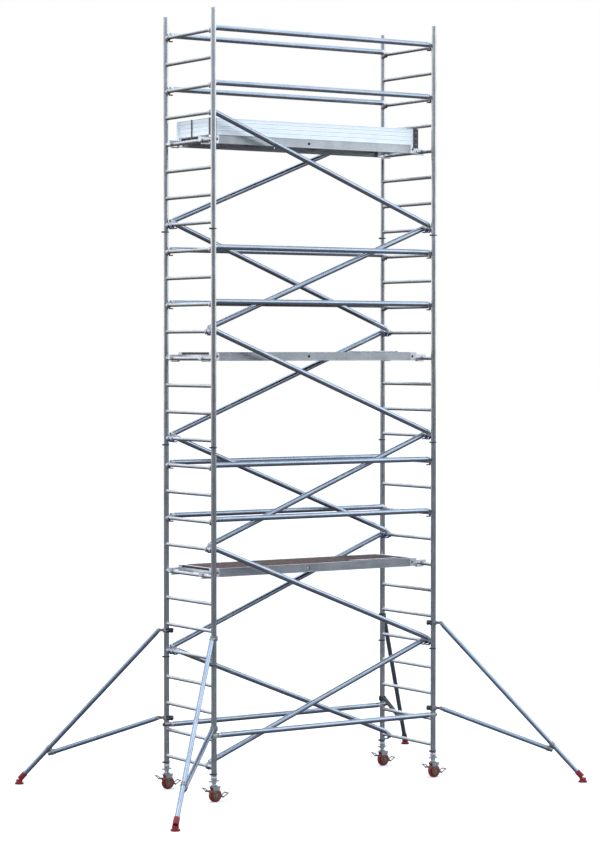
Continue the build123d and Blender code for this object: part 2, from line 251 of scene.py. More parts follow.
def make(name, shape, body, material, replaces=(), sharp=32):
    """Turns a shape into a named piece that rides on a body."""
    mesh = bpy.data.meshes.new(name)
    mesh.from_pydata([tuple(p) for p in shape.v], [], shape.f)
    mesh.update()
    b = bmesh.new()
    b.from_mesh(mesh)
    bmesh.ops.recalc_face_normals(b, faces=b.faces)
    b.to_mesh(mesh)
    b.free()
    mesh.polygons.foreach_set("use_smooth", [True] * len(mesh.polygons))
    mesh.set_sharp_from_angle(angle=math.radians(sharp))
    mesh.materials.append(material)
    piece = bpy.data.objects.new(name, mesh)
    bpy.context.scene.collection.objects.link(piece)
    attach(piece, body)
    if replaces:
        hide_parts(*replaces)
    return piece


# ------------------------------------------------------------------ finishes
def node(tree, kind, **inputs):
    """A shader node, with its inputs given as values or as other nodes' sockets."""
    n = tree.nodes.new("ShaderNode" + kind)
    for key, value in inputs.items():
        key = key.replace("_", " ")
        if key in n.inputs:
            socket = n.inputs[key]
            if isinstance(value, bpy.types.NodeSocket):
                tree.links.new(value, socket)
            else:
                socket.default_value = value
        else:
            setattr(n, key.replace(" ", "_"), value)
    return n


def ramp(tree, factor, *stops):
    """A colour ramp over (place, colour) stops."""
    n = node(tree, "ValToRGB", Fac=factor)
    row = n.color_ramp.elements
    while len(row) < len(stops):
        row.new(0.5)
    for e, (place, colour) in zip(row, stops):
        e.position = place
        e.color = (*colour, 1) if len(colour) == 3 else colour
    return n.outputs["Color"]


def mixed(tree, factor, a, b, way="MIX"):
    """Colour a going to colour b as the factor goes from 0 to 1."""
    n = tree.nodes.new("ShaderNodeMix")
    n.data_type, n.blend_type = "RGBA", way
    for socket, value in ((n.inputs[0], factor), (n.inputs[6], a), (n.inputs[7], b)):
        if isinstance(value, bpy.types.NodeSocket):
            tree.links.new(value, socket)
        elif isinstance(value, (int, float)):
            socket.default_value = value
        else:
            socket.default_value = (*value, 1)
    return n.outputs[2]


def math_node(tree, what, a, b=0.0):
    """One sum on two numbers or sockets."""
    n = tree.nodes.new("ShaderNodeMath")
    n.operation = what
    for socket, value in ((n.inputs[0], a), (n.inputs[1], b)):
        if isinstance(value, bpy.types.NodeSocket):
            tree.links.new(value, socket)
        else:
            socket.default_value = value
    return n.outputs[0]


def span(tree, value, a, b, lo=0.0, hi=1.0):
    """A value carried from the range a..b to the range lo..hi, and held at its ends."""
    n = node(tree, "MapRange", Value=value)
    for key, v in (("From Min", a), ("From Max", b), ("To Min", lo), ("To Max", hi)):
        n.inputs[key].default_value = v
    return n.outputs["Result"]


def blend(tree, a, share_a, b, share_b):
    """The sum of two sockets, each times its share."""
    first, second = math_node(tree, "MULTIPLY", a, share_a), math_node(tree, "MULTIPLY", b, share_b)
    return math_node(tree, "ADD", first, second)


class Finish:
    """A material with object coordinates ready, built up in layers."""

    def __init__(self, name, metallic=0.0, ior=1.5, coat=0.0):
        self.m = bpy.data.materials.new(name)
        self.m.use_nodes = True
        self.t = self.m.node_tree
        self.p = self.t.nodes["Principled BSDF"]
        self.p.inputs["Metallic"].default_value = metallic
        self.p.inputs["IOR"].default_value = ior
        if coat:
            self.p.inputs["Coat Weight"].default_value = coat
        self.at = self.t.nodes.new("ShaderNodeTexCoord").outputs["Object"]

    def placed(self, stretch):
        return node(self.t, "Mapping", Vector=self.at, Scale=stretch).outputs[0]

    def noise(self, scale, detail=4.0, rough=0.55, stretch=None):
        at = self.placed(stretch) if stretch else self.at
        return node(self.t, "TexNoise", Vector=at, Scale=scale, Detail=detail, Roughness=rough).outputs[0]

    def cells(self, scale, what="Distance"):
        return node(self.t, "TexVoronoi", Vector=self.at, Scale=scale).outputs[what]

    def done(self, colour, rough, height=None, strength=0.1, distance=0.001):
        links = self.t.links
        links.new(colour, self.p.inputs["Base Color"])
        if isinstance(rough, bpy.types.NodeSocket):
            links.new(rough, self.p.inputs["Roughness"])
        else:
            self.p.inputs["Roughness"].default_value = rough
        if height is not None:
            bump = node(self.t, "Bump", Height=height, Strength=strength, Distance=distance)
            links.new(bump.outputs[0], self.p.inputs["Normal"])
        return self.m


def drawn_metal(name, low, high, rough, streak=(1, 1, 0.02), metallic=1.0, painted_shade=None, scuffs=0.5, ends=None):
    """Extruded metal: fine lines along it, cloudy tone and small scuffs.

    The argument before scuffs, (start, full, colour), is painted shade: a darker colour that comes in as the
    face turns down past those heights of its normal. ends is (x, colour): another colour beyond that distance
    from the middle.
    """
    s = Finish(name, metallic=metallic)
    lines = s.noise(260, 5, 0.6, streak)
    cloud = s.noise(5.5, 5, 0.6)
    tone = blend(s.t, lines, 0.45, cloud, 0.55)
    colour = ramp(s.t, tone, (0.34, low), (0.62, high))
    marks = span(s.t, s.noise(48, 8, 0.72, (1.3, 1.3, 0.6)), 0.60, 0.70)
    colour = mixed(s.t, math_node(s.t, "MULTIPLY", marks, scuffs), colour, tuple(c * 0.45 for c in low))
    if ends:
        far = math_node(s.t, "ABSOLUTE", node(s.t, "SeparateXYZ", Vector=s.at).outputs[0])
        colour = mixed(s.t, span(s.t, far, ends[0], ends[0] + 0.002), colour, ends[1])
    # painted shade: the faces that turn down are darkened towards the given colour
    if painted_shade:
        normal = s.t.nodes.new("ShaderNodeNewGeometry").outputs["Normal"]
        face = node(s.t, "SeparateXYZ", Vector=normal).outputs[2]
        colour = mixed(s.t, span(s.t, face, painted_shade[0], painted_shade[1]), colour, painted_shade[2])
    r = math_node(s.t, "ADD", span(s.t, lines, 0.35, 0.65, rough - 0.06, rough + 0.07),
                  math_node(s.t, "MULTIPLY", marks, 0.2))
    height = math_node(s.t, "ADD", lines, math_node(s.t, "MULTIPLY", marks, -0.6))
    return s.done(colour, r, height, 0.18, 0.0004)


def cast_metal(name, low, high, rough, metallic=1.0, grain=520):
    """Sand-cast alloy: a fine pitted skin with darker hollows."""
    s = Finish(name, metallic=metallic)
    pits = s.noise(grain, 4, 0.7)
    cloud = s.noise(22, 4, 0.6)
    colour = ramp(s.t, blend(s.t, pits, 0.4, cloud, 0.6), (0.36, low), (0.6, high))
    return s.done(colour, span(s.t, pits, 0.3, 0.7, rough - 0.08, rough + 0.1), pits, 0.35, 0.0006)


def zinc(name, low, high, rough):
    """Hot-dip galvanised steel: crystals of slightly different tone, and a few dull runs."""
    s = Finish(name, metallic=0.95)
    flake = node(s.t, "SeparateXYZ", Vector=s.cells(150, what="Color")).outputs[0]
    runs = s.noise(30, 5, 0.6, (1, 1, 0.25))
    tone = blend(s.t, flake, 0.5, runs, 0.5)
    colour = ramp(s.t, tone, (0.2, low), (0.75, high))
    return s.done(colour, span(s.t, tone, 0.2, 0.8, rough + 0.1, rough - 0.06), s.noise(300, 4), 0.2, 0.0004)


def moulded(name, low, high, rough, grain=900, dust=0.12):
    """Moulded plastic: leathery micro texture, faint flow marks and pale dust."""
    s = Finish(name, ior=1.47)
    fine = s.cells(grain)
    flow = s.noise(26, 5, 0.6)
    colour = ramp(s.t, flow, (0.35, low), (0.65, high))
    dusty = span(s.t, s.noise(75, 7, 0.7), 0.56, 0.74, 0.0, dust)
    colour = mixed(s.t, dusty, colour, (0.55, 0.52, 0.48))
    return s.done(colour, span(s.t, flow, 0.3, 0.7, rough - 0.06, rough + 0.08), fine, 0.22, 0.0004)


def painted(name, low, high, rough, bare=(0.32, 0.30, 0.29), chips=0.66):
    """Enamelled steel: an orange-peel skin, tone shifts, and chips down to grey primer."""
    s = Finish(name, ior=1.5, coat=0.2)
    cloud = s.noise(30, 5, 0.6)
    chip = span(s.t, s.noise(110, 8, 0.75), chips, chips + 0.03)
    colour = mixed(s.t, chip, ramp(s.t, cloud, (0.35, low), (0.65, high)), bare)
    skin = math_node(s.t, "SUBTRACT", s.noise(420, 3), math_node(s.t, "MULTIPLY", chip, 1.2))
    return s.done(colour, span(s.t, cloud, 0.3, 0.7, rough - 0.06, rough + 0.08), skin, 0.2, 0.0005)


def rubbery(name, low, high, rough):
    """Solid rubber or urethane: matt, scuffed, with dust held in its grain."""
    s = Finish(name, ior=1.45)
    scuff = s.noise(60, 8, 0.7)
    colour = ramp(s.t, scuff, (0.32, low), (0.66, high))
    dust = span(s.t, s.noise(24, 5, 0.6), 0.55, 0.8, 0.0, 0.22)
    colour = mixed(s.t, dust, colour, (0.34, 0.27, 0.23))
    return s.done(colour, span(s.t, scuff, 0.3, 0.7, rough - 0.08, rough + 0.1), s.noise(500, 4), 0.3, 0.0005)


def coated_ply(name):
    """Film-faced plywood: a wire-mesh print on top, the plies showing on its edges, and painted shade on its
    underside.
    """
    s = Finish(name, ior=1.12)
    x, y, z = node(s.t, "SeparateXYZ", Vector=s.at).outputs[:3]

    def wave(value, rate):
        return math_node(s.t, "SINE", math_node(s.t, "MULTIPLY", value, rate))

    wires, plies = 900.0, 3140.0
    mesh = math_node(s.t, "MAXIMUM", wave(math_node(s.t, "ADD", x, y), wires),
                     wave(math_node(s.t, "SUBTRACT", x, y), wires))
    film = ramp(s.t, s.noise(9, 6, 0.65), (0.3, (0.045, 0.018, 0.013)), (0.7, (0.10, 0.038, 0.026)))
    film = mixed(s.t, span(s.t, mesh, 0.55, 0.95, 0.0, 0.35), film, (0.04, 0.018, 0.014))
    worn = span(s.t, s.noise(3.2, 7, 0.7, (0.6, 1, 1)), 0.56, 0.78, 0.0, 0.6)
    film = mixed(s.t, worn, film, (0.20, 0.12, 0.08))
    layers = wave(z, plies)
    edge = ramp(s.t, math_node(s.t, "ADD", math_node(s.t, "MULTIPLY", layers, 0.25),
                               s.noise(120, 5, 0.6, (0.15, 0.15, 1))), (0.3, (0.20, 0.11, 0.055)),
                (0.8, (0.50, 0.32, 0.18)))
    # the board's own normal, so that an opened trapdoor keeps its film
    normal = s.t.nodes.new("ShaderNodeTexCoord").outputs["Normal"]
    face = node(s.t, "SeparateXYZ", Vector=normal).outputs[2]
    flat = span(s.t, math_node(s.t, "ABSOLUTE", face), 0.5, 0.6)
    # painted shade: the board's underside goes near-black
    under = span(s.t, face, -0.6, -0.8)
    film = mixed(s.t, under, film, (0.014, 0.015, 0.017))
    colour = mixed(s.t, flat, edge, film)
    height = math_node(s.t, "MULTIPLY", math_node(s.t, "ADD", mesh, s.noise(200, 4)), flat)
    return s.done(colour, span(s.t, s.noise(30, 4), 0.3, 0.7, 0.42, 0.62), height, 0.35, 0.0006)


FINISH = {
    "upright": drawn_metal("mill_upright", (0.365, 0.365, 0.365), (0.55, 0.55, 0.552), 0.21),
    # painted shade: the rungs darken on their sides and undersides, and only their tops stay pale
    "rung": drawn_metal("ribbed_rung", (0.66, 0.66, 0.65), (0.92, 0.92, 0.91), 0.34, (1, 0.02, 1),
                        painted_shade=(0.40, 0.04, (0.20, 0.185, 0.165))),
    "weld": cast_metal("weld_bead", (0.42, 0.42, 0.43), (0.66, 0.66, 0.67), 0.36, grain=900),
    # painted shade: the braces' down-facing faces are darker
    "brace": drawn_metal("bright_brace", (0.26, 0.305, 0.365), (0.37, 0.42, 0.49), 0.26, (0.02, 1, 1),
                         painted_shade=(-0.05, -0.42, (0.24, 0.235, 0.25))),
    # painted shade: the stabiliser tubes' down-facing faces are darker
    "stab": drawn_metal("stabiliser_tube", (0.24, 0.29, 0.36), (0.35, 0.41, 0.49), 0.26, (0.4, 0.4, 0.06),
                        painted_shade=(-0.10, -0.60, (0.13, 0.135, 0.15))),
    "cast": cast_metal("cast_alloy", (0.42, 0.43, 0.45), (0.66, 0.67, 0.69), 0.42),
    "pale_cast": cast_metal("pale_cast_alloy", (0.56, 0.58, 0.60), (0.80, 0.81, 0.82), 0.42, metallic=0.9),
    "clamp": cast_metal("forged_clamp", (0.17, 0.175, 0.18), (0.34, 0.345, 0.35), 0.42),
    "zinc": zinc("hot_dip_zinc", (0.36, 0.37, 0.39), (0.66, 0.68, 0.70), 0.36),
    "black": moulded("black_moulding", (0.012, 0.012, 0.013), (0.03, 0.03, 0.032), 0.42),
    "red": moulded("red_moulding", (0.045, 0.006, 0.007), (0.09, 0.010, 0.012), 0.42, dust=0.04),
    "blue": moulded("blue_moulding", (0.012, 0.022, 0.16), (0.02, 0.045, 0.30), 0.38, dust=0.06),
    "wheel": moulded("wheel_core", (0.16, 0.050, 0.030), (0.27, 0.10, 0.06), 0.46, 700, 0.25),
    "tyre": rubbery("red_urethane", (0.24, 0.016, 0.011), (0.42, 0.032, 0.022), 0.44),
    "foot": rubbery("red_rubber_foot", (0.16, 0.006, 0.008), (0.30, 0.014, 0.016), 0.55),
    "enamel": painted("brake_enamel", (0.11, 0.062, 0.034), (0.21, 0.070, 0.038), 0.42,
                      bare=(0.22, 0.17, 0.10), chips=0.60),
    "ply": coated_ply("film_faced_ply"),
    # painted shade: the down-facing faces in this finish are nearly black
    "deck": drawn_metal("deck_extrusion", (0.31, 0.325, 0.335), (0.47, 0.485, 0.495), 0.38, (0.02, 1, 1),
                        painted_shade=(-0.5, -0.9, (0.03, 0.032, 0.036)),
                        ends=(1.0895, (0.80, 0.81, 0.82))),
    "toe": drawn_metal("toe_board_alloy", (0.80, 0.88, 0.92), (0.94, 0.98, 1.0), 0.42, (0.02, 1, 1),
                       metallic=0.25, scuffs=0.12),
    "dark": painted("dark_steel_paint", (0.03, 0.03, 0.032), (0.07, 0.07, 0.075), 0.5, chips=0.7),
    # painted shade: the dark brown of the strips on the deck's end faces
    "strip": moulded("end_strip", (0.022, 0.016, 0.014), (0.05, 0.034, 0.028), 0.5),
}

SLOT_FINISH = {
    "tower_aluminium": "upright", "cast_aluminium": "cast", "galvanised_steel": "zinc",
    "black_plastic": "black", "red_plastic": "red", "blue_plastic": "blue", "red_wheel": "wheel",
    "red_tyre": "tyre", "red_rubber": "foot", "brake_red": "enamel", "ply": "ply",
    "deck_aluminium": "deck", "toe_aluminium": "toe", "dark_steel": "dark",
}
for packed in nodes.values():
    for slot in packed.material_slots:
        slot.material = FINISH[SLOT_FINISH[slot.material.name.split(".")[0]]]
nodes["deck_hooks"].material_slots[0].material = FINISH["pale_cast"]
for c in CORNERS:
    nodes[f"stab_clamps_{c}"].material_slots[0].material = FINISH["clamp"]


# ------------------------------------------------------------------ end frames
rung_rows = []
for side in ("left", "right"):
    for level in range(1, 5):
        name = f"frame_{side}_{level}"
        posts, rungs, welds = Shape(), Shape(), Shape()
        boxes = [box_of(p) for p in solids_of(name)]
        uprights = [b for b in boxes if b[1].z - b[0].z > UPRIGHT_MIN]
        post_r = (uprights[0][1].x - uprights[0][0].x) / 2
        post_y = [(lo.y + hi.y) / 2 for lo, hi in uprights]
        for lo, hi in uprights:
            c = (lo + hi) / 2
            posts.put(tube(hi.z - lo.z, post_r, TUBE_WALL, 48), moved(c.x, c.y, lo.z))
        for lo, hi in boxes:
            if hi.z - lo.z > UPRIGHT_MIN:
                continue
            c, r, run = (lo + hi) / 2, (hi.x - lo.x) / 2, hi.y - lo.y
            rung_rows.append(c.z)
            ribs = turned([(r, 0), (r, run)], 120, ring=False,
                          wobble=lambda t, j: 1 - 0.05 * (0.5 - 0.5 * math.cos(20 * t)) ** 3)
            rungs.put(ribs, basis((c.x, lo.y, c.z), (c.x, hi.y, c.z), up=(0, 0, 1)))
            # a weld bead where the rung meets each upright
            for y in post_y:
                s = 1 if y > 0 else -1
                loop = []
                for i in range(36):
                    a = 2 * math.pi * i / 36
                    dx, dz = (r + 0.8 * MM) * math.cos(a), (r + 0.8 * MM) * math.sin(a)
                    loop.append((c.x + dx, y - s * math.sqrt((post_r + 0.4 * MM) ** 2 - dx * dx), c.z + dz))
                welds.put(bead(loop, 2.5 * MM), Matrix())
        make(f"{name}_uprights", posts, "tower", FINISH["upright"], replaces=(name,))
        make(f"{name}_rungs", rungs, "tower", FINISH["rung"], sharp=60)
        make(f"{name}_welds", welds, "tower", FINISH["weld"], sharp=75)
rung_rows = sorted(set(round(z, 4) for z in rung_rows))

spigots, buttons = Shape(), Shape()
for pts in solids_of("joint_spigots"):
    lo, hi = box_of(pts)
    c, r, tall, w, e = (lo + hi) / 2, (hi.x - lo.x) / 2, hi.z - lo.z, 3 * MM, 4 * MM
    ring = [(r - w, 0.6 * MM), (r - w + 0.6 * MM, 0), (r - 1.6 * MM, 0), (r, e), (r, e + 0.4 * MM),
            (r, tall - e - 0.4 * MM), (r, tall - e),
            (r - 1.6 * MM, tall), (r - w + 0.6 * MM, tall), (r - w, tall - 0.6 * MM)]
    spigots.put(turned(ring, 44), moved(c.x, c.y, lo.z))
    out = 1 if c.y > 0 else -1
    for z, stands in ((hi.z - 32 * MM, 3.6 * MM), (lo.z + 32 * MM, 3.4 * MM)):
        buttons.put(dome(4 * MM, stands), on_face((c.x, c.y + out * r, z), (0, out, 0)))
make("joint_spigots_fine", spigots, "tower", FINISH["upright"],
     replaces=("joint_spigots",))
make("spring_buttons", buttons, "tower", FINISH["zinc"])

clips = Shape()
for pts in solids_of("interlock_clips"):
    lo, hi = box_of(pts)
    cy, cz = (lo.y + hi.y) / 2, (lo.z + hi.z) / 2
    inner, outer, half = 25.6, 30.5, 5
    cx = hi.x - outer * MM
    band = in_mm((inner, -half), (outer - 1, -half), (outer, -half + 1.2), (outer - 0.8, 0),
                 (outer, half - 1.2), (outer - 1, half), (inner, half))
    clips.put(turned(band, 40), moved(cx, cy, cz))
    clips.put(block((17 * MM, 18 * MM, 14 * MM), 2.4 * MM, 3), moved(lo.x + 8.5 * MM, cy, cz))
    for k in range(3):
        clips.put(block((1.6 * MM, 15 * MM, 14 * MM), 0.7 * MM), moved(lo.x + (3.5 + 4 * k) * MM, cy, cz))
    for s in (-1, 1):
        clips.put(dome(3.4 * MM, 1.4 * MM), on_face((cx, cy + s * outer * MM, cz), (0, s, 0), 0.4 * MM))
make("interlock_clips_fine", clips, "tower", FINISH["black"], replaces=("interlock_clips",))


# ------------------------------------------------------------------ braces
BAND_AT, BAND_LONG = 0.62, 62 * MM      # a thin sleeve on each diagonal, and how far along it starts
rivets, bands = Shape(), Shape()
for node_name, banded in (("rail_tubes", False), ("diagonal_tubes", True)):
    tubes = Shape()
    for pts in solids_of(node_name):
        a, b, r = axis_of(pts)
        if a.x > b.x:
            a, b = b, a
        tubes.put(tube((b - a).length, r, BRACE_WALL, 44), basis(a, b, up=(0, 0, 1)))
        d = (b - a).normalized()
        for end, s in ((a, 1), (b, -1)):
            for from_end, out in ((16 * MM, Vector((0, 1, 0))), (30 * MM, Vector((0, -1, 0)))):
                at = end + d * s * from_end + out * r
                rivets.put(dome(3.6 * MM, 1.7 * MM), on_face(at, out, up=d))
        if banded:
            e = 0.3 * MM
            sleeve = [(r - e, 0), (r + e, 0.1 * MM), (r + e, BAND_LONG), (r - e, BAND_LONG + 0.1 * MM)]
            bands.put(turned(sleeve, 44), basis(a + d * BAND_AT, b, up=(0, 0, 1)))
    make(node_name + "_fine", tubes, "tower", FINISH["brace"], replaces=(node_name,))
make("brace_rivets", rivets, "tower", FINISH["zinc"])
make("brace_bands", bands, "tower", FINISH["deck"])

pins = Shape()
frame_face = abs(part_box("frame_left_1")[0].x)
for pts in solids_of("brace_claws"):
    lo, hi = box_of(pts)
    mid = (lo + hi) / 2
    if abs(mid.y) > 0.4:
        continue    # a claw on an upright
    s = 1 if mid.x > 0 else -1
    jaw = pts[np.abs(pts[:, 0]) > frame_face - 22 * MM]
    jaw_z = (jaw[:, 2].min() + jaw[:, 2].max()) / 2
    z = min(rung_rows, key=lambda v: abs(v - jaw_z + 2 * MM))
    x = s * (frame_face - POST_R)
    for side in (-1, 1):
        for dx, dz, half, r in ((0, 18.6, 17, 3.4), (-s * 21, 17, 15, 4.2)):
            at = (x + dx * MM, mid.y + side * half * MM, z + dz * MM)
            pins.put(dome(r * MM, 2 * MM), on_face(at, (0, side, 0)))
make("claw_pins", pins, "tower", FINISH["zinc"])


# ------------------------------------------------------------------ decks
def rows_of(name):
    """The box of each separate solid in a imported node."""
    return [box_of(p) for p in solids_of(name)]


deck_bits, strips = Shape(), Shape()
for lo, hi in rows_of("deck_frames"):
    size, c = hi - lo, (lo + hi) / 2
    if size.x > LONG:
        # a side beam: a lip along its top and bottom edges, and rivets at its ends
        out = 1 if c.y > DECK_MIDDLE else -1
        face = hi.y if out > 0 else lo.y
        lip = block((size.x - 1 * MM, 1.6 * MM, 5 * MM), 0.6 * MM)
        for s in (1, -1):
            deck_bits.put(lip, moved(c.x, face + out * 0.3 * MM, c.z + s * (size.z / 2 - 3.2 * MM)))
        for s in (-1, 1):
            for dz in (-24, 24):
                for dx in (18, 52):
                    at = (s * (hi.x - dx * MM), face, c.z + dz * MM)
                    deck_bits.put(dome(4 * MM, 1.8 * MM), on_face(at, (0, out, 0), 0))
    elif size.x < 0.09 and size.y > 0.45:
        # a cross member: rivets over both its ends, and on the outermost a dark strip that is painted shade
        # on the deck's end face
        if abs(c.x) > 1.1:
            out = 1 if c.x > 0 else -1
            strip = block((2.4 * MM, size.y - 2 * MM, 22 * MM), 0.8 * MM)
            strips.put(strip, moved(c.x + out * (size.x / 2 + 1.1 * MM), c.y, hi.z - 12 * MM))
        for s in (-1, 1):
            for dx in (-7, 7):
                at = (c.x + dx * MM, c.y + s * (size.y / 2 - 20 * MM), hi.z)
                deck_bits.put(dome(3.2 * MM, 1.3 * MM), on_face(at, (0, 0, 1), 0.1 * MM))
make("deck_rivets_and_lips", deck_bits, "tower", FINISH["deck"])
make("deck_end_shade_strips", strips, "tower", FINISH["strip"])

screws = Shape()
for lo, hi in rows_of("deck_boards"):
    nx = max(2, round((hi.x - lo.x) / 0.22))
    for i in range(nx):
        for y in (lo.y + 16 * MM, hi.y - 16 * MM):
            x = lo.x + 20 * MM + (hi.x - lo.x - 40 * MM) * i / (nx - 1)
            screws.put(dome(4.2 * MM, 0.9 * MM), on_face((x, y, hi.z), (0, 0, 1), 0.1 * MM))
make("deck_board_rivets", screws, "tower", FINISH["zinc"])

BOARD = 10 * MM         # thickness of the trapdoors
HOLE_R = 16 * MM        # the finger hole
for k in (1, 2, 3):
    name = f"trapdoor_{k}"
    lo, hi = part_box(name)
    top = hi.z - 11 * MM
    hinge_y, hinge_z = lo.y + 5 * MM, hi.z - 5 * MM
    y0, y1 = lo.y + 12 * MM, hi.y
    ring_x, ring_y = (lo.x + hi.x) / 2, hi.y - 60 * MM
    b = bmesh.new()
    outline = [b.verts.new(p + (0,)) for p in ((lo.x, y0), (hi.x, y0), (hi.x, y1), (lo.x, y1))]
    hole = []
    for i in range(24):
        a = i * math.pi / 12
        hole.append(b.verts.new((ring_x + HOLE_R * math.cos(a), ring_y + HOLE_R * math.sin(a), 0)))
    edges = [b.edges.new(pair) for loop in (outline, hole) for pair in zip(loop, loop[1:] + loop[:1])]
    bmesh.ops.triangle_fill(b, edges=edges, use_beauty=True)
    inside = [f for f in b.faces if (f.calc_center_median() - Vector((ring_x, ring_y, 0))).length < 10 * MM
              and all(v in hole for v in f.verts)]
    bmesh.ops.delete(b, geom=inside, context="FACES")
    raised = bmesh.ops.extrude_face_region(b, geom=b.faces[:])
    upper = [v for v in raised["geom"] if isinstance(v, bmesh.types.BMVert)]
    bmesh.ops.translate(b, vec=(0, 0, BOARD), verts=upper)
    bmesh.ops.translate(b, vec=(0, 0, top - BOARD), verts=b.verts)
    make(name + "_board", from_bmesh(b), name, FINISH["ply"], replaces=(name,))
    leaves, trim = Shape(), Shape()
    for x0, x1 in ((420 * MM, 666 * MM), (694 * MM, 940 * MM)):
        long = x1 - x0
        leaves.put(tube(long, 5 * MM, 2.3 * MM, 20, 0.4 * MM),
                   basis((x0, hinge_y, hinge_z), (x1, hinge_y, hinge_z)))
        leaf = block((long, 36 * MM, 2.4 * MM), 0.6 * MM)
        leaves.put(leaf, moved((x0 + x1) / 2, hinge_y + 21 * MM, top + 1.2 * MM))
        for i in range(5):
            x, dy = x0 + 25 * MM + i * (long - 50 * MM) / 4, (18 if i % 2 else 30) * MM
            at = (x, hinge_y + dy, top + 2.3 * MM)
            leaves.put(dome(3.6 * MM, 1.5 * MM), on_face(at, (0, 0, 1), 0))
    make(name + "_hinge_leaves", leaves, name, FINISH["zinc"])
    rim = in_mm((15.7, 0), (15.7, 10.6), (20, 10.8), (20.6, 10.1), (16.2, 9.9), (16.2, 0))
    trim.put(turned(rim, 32), moved(ring_x, ring_y, top - BOARD))
    make(name + "_finger_ring", trim, name, FINISH["black"])


# ------------------------------------------------------------------ toe boards
def ribbed(length, tall, thick, ribs=4):
    """A toe-board extrusion along X, centred, with long ribs on both faces and rounded edges."""
    half, rows = thick / 2, []
    pitch = tall / ribs
    for i in range(ribs):
        z = -tall / 2 + pitch * i
        rows += [(half - 2.2 * MM, z + 0.4 * MM), (half, z + 3 * MM), (half, z + 8 * MM),
                 (half - 1.6 * MM, z + 11 * MM), (half - 1.6 * MM, z + pitch - 4 * MM)]
    rows[-1] = (half - 1.6 * MM, tall / 2 - 8 * MM)
    rows += [(half, tall / 2 - 6 * MM), (half, tall / 2 - 2 * MM), (half - 2 * MM, tall / 2)]
    loop = rows + [(-y, z) for y, z in rows[::-1]]
    n = len(loop)
    verts = [(x, y, z) for x in (-length / 2, length / 2) for y, z in loop]
    faces = [[i, (i + 1) % n, n + (i + 1) % n, n + i] for i in range(n)]
    # the ends are closed in strips, since the outline isn't convex
    m = len(rows)
    for base in (0, n):
        faces += [[base + i, base + i + 1, base + n - 2 - i, base + n - 1 - i] for i in range(m - 1)]
    return Shape().add(verts, faces)


boards = Shape()
for lo, hi in rows_of("toe_boards"):
    size, c = hi - lo, (lo + hi) / 2
    if size.x > size.y:
        boards.put(ribbed(size.x, size.z, size.y), moved(c.x, c.y, c.z))
    else:
        across = Matrix.Rotation(math.pi / 2, 4, "Z")
        boards.put(ribbed(size.y, size.z, size.x), moved(c.x, c.y, c.z) @ across)
make("toe_boards_ribbed", boards, "tower", FINISH["toe"], replaces=("toe_boards",), sharp=25)
bolts = Shape()
for lo, hi in rows_of("toe_board_brackets"):
    c = (lo + hi) / 2
    if hi.x - lo.x > 20 * MM:
        out = 1 if c.y > DECK_MIDDLE else -1
        face = hi.y if out > 0 else lo.y
        for dz in (-55, 0, 55):
            at = Vector((c.x, face - out * 0.2 * MM, c.z + dz * MM))
            bolts.put(hexagon(10 * MM, 3 * MM), on_face(at, (0, out, 0), 0))
make("toe_bracket_bolts", bolts, "tower", FINISH["zinc"])


# ------------------------------------------------------------------ castor legs
def threaded(length, crest, root, pitch, bore, steps=20):
    """A tube with a trapezoidal helical thread, up Z."""
    turns = length / pitch
    rows = int(turns * steps)
    s, verts, faces = Shape(), [], []
    form = ((0.0, root), (0.22, root), (0.36, crest), (0.62, crest), (0.76, root))
    k = len(form)
    for i in range(rows + 1):
        a = 2 * math.pi * i / steps
        for share, r in form:
            z = min(max((i / steps + share) * pitch - pitch * 0.5, 0.0), length)
            verts.append((r * math.cos(a), r * math.sin(a), z))
    for i in range(rows):
        for j in range(k):
            a, b = i * k + j, (i + 1) * k + j
            if j < k - 1:
                faces.append([a, b, b + 1, a + 1])
            elif i + steps + 1 <= rows:
                c, d = (i + steps) * k, (i + steps + 1) * k
                faces.append([a, b, d, c])
    s.add(verts, faces)
    # a plain tube just under the root closes the thread's inside
    low, high, outer = 0.2 * MM, length - 0.2 * MM, root - 0.2 * MM
    s.put(turned([(bore, low), (outer, low), (outer, high), (bore, high)], 24), Matrix())
    return s


